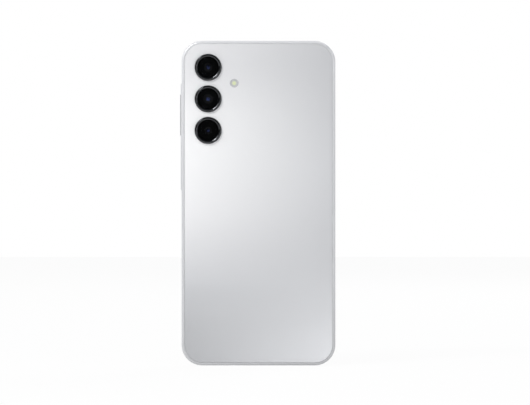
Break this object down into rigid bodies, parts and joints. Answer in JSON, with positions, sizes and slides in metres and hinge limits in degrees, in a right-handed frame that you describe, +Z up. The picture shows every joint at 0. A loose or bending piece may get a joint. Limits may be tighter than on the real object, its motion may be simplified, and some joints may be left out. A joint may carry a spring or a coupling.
{
  "type": "smartphone",
  "caption": "Upright touchscreen phone with a flat silver back, separate round camera rings, a raised side island for the keys, a card tray and a USB-C port.",
  "frame": {"origin": "middle of the bottom edge, at half the body's width and half its thickness", "axes": "+Z up along the phone's length to its earpiece end, the screen faces -Y, the back panel faces +Y, the keys are on the +X side and the card tray on the -X side"},
  "size_m": [0.0786, 0.0091, 0.1644],
  "materials": {
    "frame": "satin",
    "back_panel": "gloss",
    "adhesive": "matte",
    "front_glass": "polished",
    "display": "satin",
    "flex": "satin",
    "mid_plate": "satin",
    "battery": "satin",
    "circuit_board": "satin",
    "chip": "matte",
    "shield": "satin",
    "thermal_pad": "matte",
    "inner_plastic": "matte",
    "screw": "satin",
    "module_metal": "satin",
    "lens_barrel": "satin",
    "camera_ring": "satin",
    "lens_cover": "polished",
    "flash_lens": "gloss",
    "flash_lamp": "satin",
    "port_metal": "satin",
    "port_plastic": "matte",
    "contact_gold": "polished",
    "seal_rubber": "matte",
    "diaphragm": "satin",
    "mesh": "matte",
    "rotor_metal": "satin",
    "key": "satin",
    "sensor": "satin",
    "switch_metal": "polished",
    "tray": "satin",
    "card": "satin",
    "memory_card": "matte",
    "cable": "satin"
  },
  "bodies": {
    "phone": {"side_frame": "frame", "back_panel": "back_panel", "back_panel_seal": "adhesive", "cover_glass": "front_glass", "display_adhesive": "adhesive", "display_panel": "display", "display_flex": "flex", "mid_plate": "mid_plate", "battery": "battery", "battery_adhesive": "adhesive", "battery_flex": "flex", "main_board": "circuit_board", "board_chips": "chip", "rear_shield_cans": "shield", "front_shield_can": "shield", "thermal_pad": "thermal_pad", "board_cover": "inner_plastic", "board_screws": "screw", "nfc_antenna": "flex", "main_camera_housing": "module_metal", "wide_camera": "lens_barrel", "macro_camera": "lens_barrel", "front_camera": "lens_barrel", "flash_lens": "flash_lens", "flash_led": "flash_lamp", "sub_board": "circuit_board", "sub_board_screws": "screw", "usb_c_shell": "port_metal", "usb_c_tongue": "port_plastic", "usb_c_contacts": "contact_gold", "usb_c_gasket": "seal_rubber", "microphones": "module_metal", "loudspeaker_box": "inner_plastic", "loudspeaker_diaphragm": "diaphragm", "loudspeaker_mesh": "mesh", "vibration_motor_can": "module_metal", "earpiece": "inner_plastic", "earpiece_mesh": "mesh", "side_key_flex": "flex", "side_key_switches": "switch_metal", "sim_socket": "shield", "main_flex": "flex", "antenna_cable": "cable", "camera_ring_upper": "camera_ring", "camera_ring_middle": "camera_ring", "camera_ring_lower": "camera_ring", "lens_cover_upper": "lens_cover", "lens_cover_middle": "lens_cover", "lens_cover_lower": "lens_cover"},
    "volume_key": {"volume_key": "key"},
    "power_key": {"power_key": "key", "fingerprint_sensor": "sensor"},
    "card_tray": {"sim_tray": "tray", "sim_tray_seal": "seal_rubber", "sim_card": "card", "memory_card": "memory_card"},
    "eject_rod": {"eject_rod": "module_metal"},
    "eject_lever": {"eject_lever": "module_metal"},
    "focus_barrel": {"main_camera_barrel": "lens_barrel"},
    "vibration_rotor": {"vibration_rotor": "rotor_metal"}
  },
  "joints": [
    {"name": "volume_key_rock", "type": "hinge", "parent": "phone", "child": "volume_key", "pos_m": [0.0379, 0, 0.1269], "axis": [0, 1, 0], "range_deg": [-1.6, 1.6], "stiffness_Nm_per_rad": 0.02},
    {"name": "power_key_press", "type": "slide", "parent": "phone", "child": "power_key", "axis": [-1, 0, 0], "range_m": [0, 0.00025], "stiffness_N_per_m": 800},
    {"name": "card_tray_slide", "type": "slide", "parent": "phone", "child": "card_tray", "axis": [-1, 0, 0], "range_m": [0, 0.031]},
    {"name": "eject_rod_push", "type": "slide", "parent": "phone", "child": "eject_rod", "axis": [1, 0, 0], "range_m": [0, 0.001]},
    {"name": "eject_lever_turn", "type": "hinge", "parent": "phone", "child": "eject_lever", "pos_m": [-0.00495, -0.0007, 0.136], "axis": [0, -1, 0], "range_deg": [0, 13.1]},
    {"name": "main_camera_focus", "type": "slide", "parent": "phone", "child": "focus_barrel", "axis": [0, 1, 0], "range_m": [0, 0.0003], "stiffness_N_per_m": 60},
    {"name": "vibration_rotor_spin", "type": "hinge", "parent": "phone", "child": "vibration_rotor", "pos_m": [-0.028, 0, 0.0104], "axis": [0, 1, 0], "continuous": true}
  ],
  "couplings": [
    {"joint": "eject_lever_turn", "follows": "eject_rod_push", "rad_per_m": 227.27}
  ]
}
